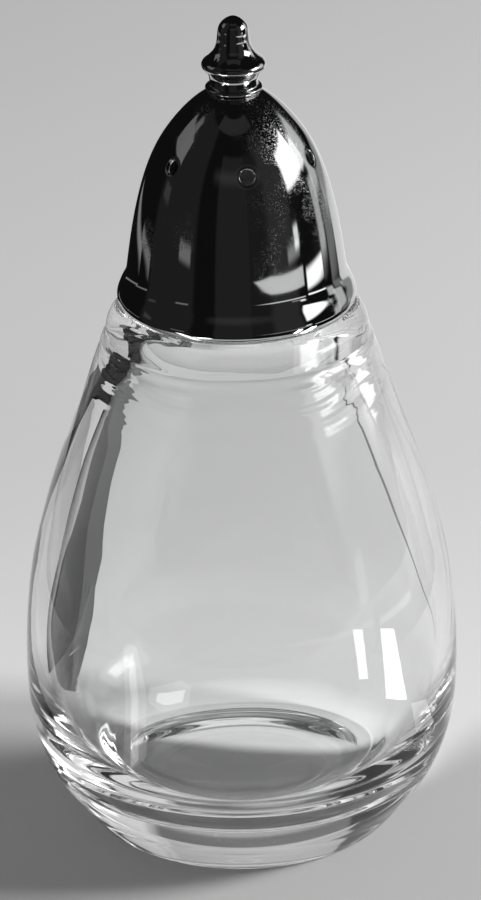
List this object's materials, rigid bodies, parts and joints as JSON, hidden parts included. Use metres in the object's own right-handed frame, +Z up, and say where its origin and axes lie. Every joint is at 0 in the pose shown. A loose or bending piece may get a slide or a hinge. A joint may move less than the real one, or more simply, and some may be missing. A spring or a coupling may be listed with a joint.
{
  "type": "condiment shaker",
  "caption": "Pear-shaped clear glass condiment shaker with a screw-on bright metal dome lid, pierced with pour holes and topped by a turned finial.",
  "frame": {"origin": "centre of the foot, on the surface that the jar stands on", "axes": "+Z up along the axis of the jar and lid; -Y is the front, the side that the picture shows"},
  "size_m": [0.0568, 0.0568, 0.11],
  "materials": {
    "jar_glass": "clear pressed glass, fire-polished",
    "bright_plate": "mirror-bright plate, slightly pitted",
    "collar_metal": "plain turned",
    "liner_white": "soft, matte",
    "finial_plate": "mirror-bright plate",
    "washer_steel": "stamped",
    "screw_steel": "machined"
  },
  "bodies": {
    "jar": {"glass_jar": "jar_glass"},
    "liner": {"liner_ring": "liner_white"},
    "lid": {"dome_shell": "bright_plate", "thread_collar": "collar_metal", "finial": "finial_plate", "finial_washer": "washer_steel", "finial_screw": "screw_steel"}
  },
  "joints": [
    {"name": "lid_rise", "type": "slide", "parent": "jar", "child": "liner", "axis": [0, 0, 1], "range_m": [0, 0.01112]},
    {"name": "lid_turn", "type": "hinge", "parent": "liner", "child": "lid", "pos_m": [0, 0, 0.0812], "axis": [0, 0, 1], "range_deg": [0, 1260]}
  ],
  "couplings": [
    {"joint": "lid_rise", "follows": "lid_turn", "m_per_rad": 0.00050532}
  ]
}
